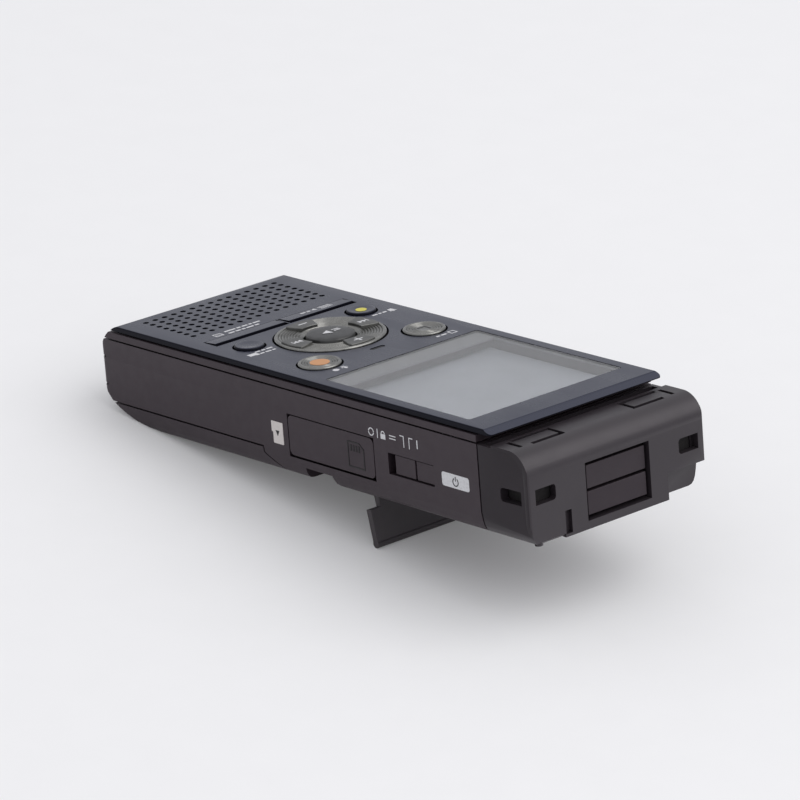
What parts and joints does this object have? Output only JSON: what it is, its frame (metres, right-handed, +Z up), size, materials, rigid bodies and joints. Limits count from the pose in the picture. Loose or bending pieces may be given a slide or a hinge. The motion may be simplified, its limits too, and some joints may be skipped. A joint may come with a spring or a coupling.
{
  "type": "portable field recorder",
  "caption": "Pocket audio recorder with display, speaker grille, round keys, microphone cap, side card door and a flip-out rear stand.",
  "frame": {"origin": "middle of the footprint of the recorder standing on its open rear stand, at floor height", "axes": "+Y from the speaker end towards the raised microphone end, +Z up, +X towards the side with the card door and power slider; the housing is tilted about X so that its front face looks up and towards the speaker end"},
  "size_m": [0.039, 0.1122, 0.033],
  "materials": {
    "shell": "fine-textured warm charcoal moulded plastic",
    "panel": "semi-gloss dark slate blue",
    "cap": "satin charcoal",
    "stand_plastic": "matte black",
    "window": "clear hard-coated acrylic",
    "display_print": "grey printed border",
    "lcd": "reflective grey liquid crystal",
    "spun_key": "circular-grooved plated plastic",
    "lamp": "dark tinted lens",
    "silicone": "matte silicone",
    "board": "solder mask",
    "plated_metal": "nickel plating",
    "dark_plastic": "black moulded plastic",
    "speaker": "pressed frame with paper cone",
    "cloth": "black acoustic mesh",
    "cell": "printed jacket"
  },
  "bodies": {
    "housing": {"rear_case": "shell", "front_case": "shell", "front_panel": "panel", "mic_cap": "cap", "mic_louvre": "shell", "display_window": "window", "display_mask": "display_print", "lcd_module": "lcd", "speaker_driver": "speaker", "speaker_cloth": "cloth", "record_lamp": "lamp", "key_mat": "silicone", "front_board": "board", "main_board": "board", "card_socket": "plated_metal", "power_switch": "dark_plastic", "microphone_jack": "dark_plastic", "earphone_jack": "dark_plastic", "cell_left": "cell", "cell_spring_left": "plated_metal", "cell_contact_left": "plated_metal", "mic_screen_left": "cloth", "mic_capsule_left": "plated_metal", "cell_right": "cell", "cell_spring_right": "plated_metal", "cell_contact_right": "plated_metal", "mic_screen_right": "cloth", "mic_capsule_right": "plated_metal", "screw_1": "plated_metal", "screw_2": "plated_metal", "screw_3": "plated_metal", "screw_4": "plated_metal"},
    "usb_plug": {"usb_shell": "plated_metal", "usb_tongue": "dark_plastic", "usb_carriage": "shell"},
    "stand": {"stand": "stand_plastic"},
    "battery_cover": {"battery_cover": "shell"},
    "card_cover": {"card_cover": "shell"},
    "power_slider": {"power_slider": "shell"},
    "nav_gimbal": {"nav_gimbal": "dark_plastic"},
    "nav_ring": {"nav_ring": "spun_key"},
    "play_button": {"play_button": "spun_key"},
    "rec_button": {"rec_button": "spun_key"},
    "stop_button": {"stop_button": "spun_key"},
    "erase_button": {"erase_button": "panel"},
    "folder_button": {"folder_button": "panel"},
    "scene_key": {"scene_key": "panel"},
    "menu_key": {"menu_key": "panel"}
  },
  "joints": [
    {"name": "stand_hinge", "type": "hinge", "parent": "housing", "child": "stand", "pos_m": [0, 0.01197, 0.01055], "axis": [1, 0, 0], "range_deg": [-101.9, 0]},
    {"name": "battery_cover_slide", "type": "slide", "parent": "housing", "child": "battery_cover", "axis": [0, -0.9846, -0.1751], "range_m": [0, 0.005]},
    {"name": "card_cover_hinge", "type": "hinge", "parent": "housing", "child": "card_cover", "pos_m": [0.0187, 0.00671, 0.01297], "axis": [0, 0.9846, 0.1751], "range_deg": [0, 95]},
    {"name": "power_slide", "type": "slide", "parent": "housing", "child": "power_slider", "axis": [0, -0.9846, -0.1751], "range_m": [0, 0.0013]},
    {"name": "usb_slide", "type": "slide", "parent": "housing", "child": "usb_plug", "axis": [0, -0.9846, -0.1751], "range_m": [0, 0.0135]},
    {"name": "nav_tilt_lengthwise", "type": "hinge", "parent": "housing", "child": "nav_gimbal", "pos_m": [0, -0.01672, 0.01936], "axis": [1, 0, 0], "range_deg": [-1.5, 1.5], "stiffness_Nm_per_rad": 0.3},
    {"name": "nav_tilt_crosswise", "type": "hinge", "parent": "nav_gimbal", "child": "nav_ring", "pos_m": [0, -0.01672, 0.01936], "axis": [0, 0.9846, 0.1751], "range_deg": [-1.5, 1.5], "stiffness_Nm_per_rad": 0.3},
    {"name": "play_button_press", "type": "slide", "parent": "housing", "child": "play_button", "axis": [0, 0.1751, -0.9846], "range_m": [0, 0.0003], "stiffness_N_per_m": 2000},
    {"name": "rec_button_press", "type": "slide", "parent": "housing", "child": "rec_button", "axis": [0, 0.1751, -0.9846], "range_m": [0, 0.0003], "stiffness_N_per_m": 2000},
    {"name": "stop_button_press", "type": "slide", "parent": "housing", "child": "stop_button", "axis": [0, 0.1751, -0.9846], "range_m": [0, 0.0003], "stiffness_N_per_m": 2000},
    {"name": "erase_button_press", "type": "slide", "parent": "housing", "child": "erase_button", "axis": [0, 0.1751, -0.9846], "range_m": [0, 0.0003], "stiffness_N_per_m": 2000},
    {"name": "folder_button_press", "type": "slide", "parent": "housing", "child": "folder_button", "axis": [0, 0.1751, -0.9846], "range_m": [0, 0.0003], "stiffness_N_per_m": 2000},
    {"name": "scene_key_press", "type": "slide", "parent": "housing", "child": "scene_key", "axis": [0, 0.1751, -0.9846], "range_m": [0, 0.0003], "stiffness_N_per_m": 2000},
    {"name": "menu_key_press", "type": "slide", "parent": "housing", "child": "menu_key", "axis": [0, 0.1751, -0.9846], "range_m": [0, 0.0003], "stiffness_N_per_m": 2000}
  ]
}
